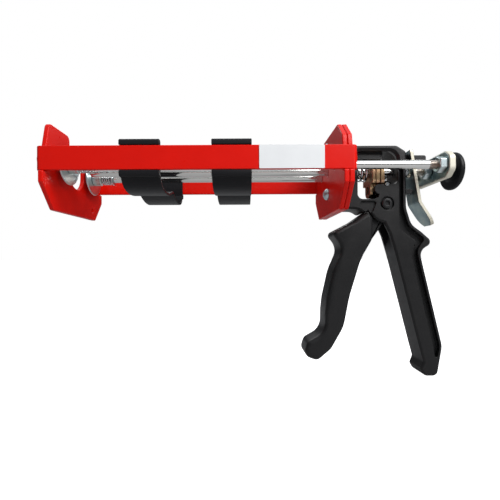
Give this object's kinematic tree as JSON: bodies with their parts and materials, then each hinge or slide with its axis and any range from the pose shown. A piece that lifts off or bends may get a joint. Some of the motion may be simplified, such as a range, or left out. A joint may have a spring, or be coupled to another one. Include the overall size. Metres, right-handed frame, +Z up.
{
  "type": "twin cartridge caulking gun",
  "caption": "Hand-squeezed caulking gun for side-by-side cartridges: steel carriage, push rods, cast grip and thumb release.",
  "frame": {"origin": "on the front plate's inner face, on the mid-plane between the cartridges, 29 mm below the rod axis, where the cartridge noses bear", "axes": "+X along the push rods from the nozzle end to the pull knob, +Z up, away from the handles, +Y to the user's right"},
  "size_m": [0.3775, 0.114, 0.2285],
  "materials": {
    "red_paint": "glossy powder coat on steel",
    "black_casting": "satin black coat on cast aluminium",
    "black_plastic": "smooth moulded",
    "chrome_rod": "bright plated round bar",
    "zinc": "bright zinc plate",
    "chromate": "yellow-brown chromate on hardened steel",
    "spring_steel": "bright drawn wire",
    "label_film": "blank satin label"
  },
  "bodies": {
    "carriage": {"front_plate": "red_paint", "rear_plate_inner": "red_paint", "rear_plate_outer": "red_paint", "strap_left": "red_paint", "strap_right": "red_paint", "front_rivet_left": "red_paint", "front_rivet_right": "red_paint", "rear_rivet_left": "red_paint", "rear_rivet_right": "red_paint", "label": "label_film", "body_casting": "black_casting", "mounting_bolt_upper": "zinc", "mounting_bolt_lower": "zinc", "pivot_bolt": "black_casting", "pivot_nut": "zinc", "return_spring": "spring_steel", "release_spring": "spring_steel"},
    "front_saddle": {"saddle_front": "black_plastic"},
    "rear_saddle": {"saddle_rear": "black_plastic"},
    "plunger": {"side_rod_left": "chrome_rod", "side_rod_right": "chrome_rod", "centre_rod": "chrome_rod", "push_disc_left": "zinc", "push_disc_right": "zinc", "disc_hub_left": "zinc", "disc_hub_right": "zinc", "disc_spring_left": "spring_steel", "disc_spring_right": "spring_steel", "spring_clip_left": "zinc", "spring_clip_right": "zinc", "lock_nut_left": "zinc", "lock_nut_right": "zinc", "lock_nut_centre": "zinc", "yoke": "zinc", "pull_knob": "black_plastic"},
    "drive": {"drive_plate": "chromate", "grip_plate_front": "chromate", "grip_plate_rear": "chromate"},
    "trigger": {"trigger": "black_casting", "nose_roller": "spring_steel", "roller_pin": "spring_steel"},
    "release": {"release_lever": "zinc"}
  },
  "joints": [
    {"name": "trigger_pivot", "type": "hinge", "parent": "carriage", "child": "trigger", "pos_m": [0.2975, 0, -0.0037], "axis": [0, -1, 0], "range_deg": [0, 30], "stiffness_Nm_per_rad": 1.2, "springref_deg": -20.05},
    {"name": "drive_slide", "type": "slide", "parent": "carriage", "child": "drive", "axis": [-1, 0, 0], "range_m": [0, 0.0102], "deforming": ["return_spring"]},
    {"name": "plunger_slide", "type": "slide", "parent": "carriage", "child": "plunger", "axis": [1, 0, 0], "range_m": [0, 0.21]},
    {"name": "release_lever_tilt", "type": "hinge", "parent": "carriage", "child": "release", "pos_m": [0.3221, 0, 0.041], "axis": [0, 1, 0], "range_deg": [0, 6], "stiffness_Nm_per_rad": 0.6, "springref_deg": -14.32, "deforming": ["release_spring"]},
    {"name": "saddle_front_slide", "type": "slide", "parent": "carriage", "child": "front_saddle", "axis": [1, 0, 0], "range_m": [-0.025, 0.015]},
    {"name": "saddle_rear_slide", "type": "slide", "parent": "carriage", "child": "rear_saddle", "axis": [1, 0, 0], "range_m": [-0.02, 0.035]}
  ],
  "couplings": [
    {"joint": "drive_slide", "follows": "trigger_pivot", "m_per_rad": 0.019}
  ]
}
